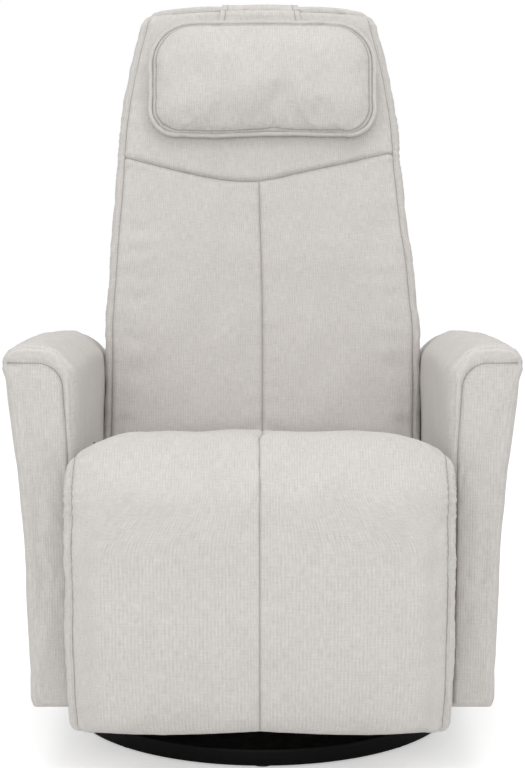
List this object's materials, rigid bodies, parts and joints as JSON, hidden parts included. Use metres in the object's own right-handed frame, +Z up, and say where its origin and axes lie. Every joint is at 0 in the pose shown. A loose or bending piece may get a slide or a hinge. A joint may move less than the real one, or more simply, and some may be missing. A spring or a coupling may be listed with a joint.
{
  "type": "glider nursery chair",
  "caption": "Upholstered swivel glider recliner: round base, hanging-link glider, padded arms, tall reclining back, sliding head pillow and swing-up footrest.",
  "frame": {"origin": "on the floor, on the swivel's axis under the middle of the round base", "axes": "+Z up; the chair faces -Y with the glide at its middle; +X is the sitter's left"},
  "size_m": [0.72, 0.8343, 1.0957],
  "materials": {
    "cover_fabric": "matte",
    "rear_fabric": "matte",
    "base_black": "satin",
    "glide_felt": "matte",
    "zinc_steel": "satin",
    "black_steel": "satin",
    "frame_timber": "matte",
    "webbing": "matte",
    "weight_iron": "matte"
  },
  "bodies": {
    "base": {"base_disc": "base_black", "base_glides": "glide_felt", "bearing_plate_lower": "zinc_steel", "bearing_balls": "zinc_steel", "swivel_king_pin": "zinc_steel", "base_screws": "zinc_steel"},
    "turntable": {"bearing_plate_upper": "zinc_steel", "hanger_plate_left": "black_steel", "hanger_plate_right": "black_steel", "hanger_pins": "zinc_steel", "glider_cross_tubes": "black_steel"},
    "front_links": {"front_link_left": "black_steel", "front_link_right": "black_steel"},
    "rear_links": {"rear_link_left": "black_steel", "rear_link_right": "black_steel"},
    "back": {"back_rail_bottom": "frame_timber", "back_rail_top": "frame_timber", "back_stile_left": "frame_timber", "back_stile_right": "frame_timber", "back_webbing": "webbing", "back_cushion": "cover_fabric", "back_panel": "rear_fabric", "headrest_strap": "cover_fabric"},
    "head_pillow": {"head_pillow": "cover_fabric"},
    "counterweight": {"counterweight_pouch": "cover_fabric", "counterweight_plate": "weight_iron"},
    "footrest": {"footrest_board": "frame_timber", "footrest_arm_left": "black_steel", "footrest_arm_right": "black_steel", "footrest_cross_tube": "black_steel", "footrest_pad": "cover_fabric"},
    "release_lever": {"release_lever": "black_steel"},
    "seat": {"arm_board_left": "frame_timber", "arm_board_right": "frame_timber", "arm_bolts": "zinc_steel", "arm_cover_left": "cover_fabric", "arm_cover_right": "cover_fabric", "arm_posts_left": "frame_timber", "arm_posts_right": "frame_timber", "arm_spacers": "zinc_steel", "arm_top_rail_left": "frame_timber", "arm_top_rail_right": "frame_timber", "back_bracket_left": "black_steel", "back_bracket_right": "black_steel", "back_pins": "zinc_steel", "carriage_pins": "zinc_steel", "carriage_plate_left": "black_steel", "carriage_plate_right": "black_steel", "footrest_bracket_left": "black_steel", "footrest_bracket_right": "black_steel", "footrest_pins": "zinc_steel", "knee_roll": "cover_fabric", "rear_valance": "rear_fabric", "release_lever_pin": "zinc_steel", "seat_cushion": "cover_fabric", "seat_rail_front": "frame_timber", "seat_rail_left": "frame_timber", "seat_rail_rear": "frame_timber", "seat_rail_right": "frame_timber", "seat_springs": "zinc_steel"}
  },
  "joints": [
    {"name": "swivel", "type": "hinge", "parent": "base", "child": "turntable", "pos_m": [0, 0, 0.036], "axis": [0, 0, 1], "continuous": true},
    {"name": "front_link_swing", "type": "hinge", "parent": "turntable", "child": "front_links", "pos_m": [0, -0.115, 0.225], "axis": [1, 0, 0], "range_deg": [-17, 17]},
    {"name": "rear_link_swing", "type": "hinge", "parent": "turntable", "child": "rear_links", "pos_m": [0, 0.115, 0.225], "axis": [1, 0, 0], "range_deg": [-17, 17]},
    {"name": "glide", "type": "hinge", "parent": "front_links", "child": "seat", "pos_m": [0, -0.115, 0.085], "axis": [1, 0, 0], "range_deg": [-16, 16]},
    {"name": "back_recline", "type": "hinge", "parent": "seat", "child": "back", "pos_m": [0, 0.186, 0.35], "axis": [-1, 0, 0], "range_deg": [0, 35]},
    {"name": "headrest_slide", "type": "slide", "parent": "back", "child": "head_pillow", "axis": [0, 0.2756, 0.9613], "range_m": [-0.1, 0.03]},
    {"name": "counterweight_slide", "type": "slide", "parent": "back", "child": "counterweight", "axis": [0, 0.2756, 0.9613], "range_m": [-0.03, 0.1]},
    {"name": "footrest_open", "type": "hinge", "parent": "seat", "child": "footrest", "pos_m": [0, -0.335, 0.408], "axis": [-1, 0, 0], "range_deg": [0, 80], "deforming": ["knee_roll"]},
    {"name": "release_lever_pull", "type": "hinge", "parent": "seat", "child": "release_lever", "pos_m": [-0.2545, -0.06, 0.272], "axis": [-1, 0, 0], "range_deg": [0, 20], "stiffness_Nm_per_rad": 1.5, "springref_deg": -8.59}
  ],
  "couplings": [
    {"joint": "front_link_swing", "follows": "glide", "ratio": -1},
    {"joint": "rear_link_swing", "follows": "glide", "ratio": -1},
    {"joint": "counterweight_slide", "follows": "headrest_slide", "ratio": -1}
  ]
}
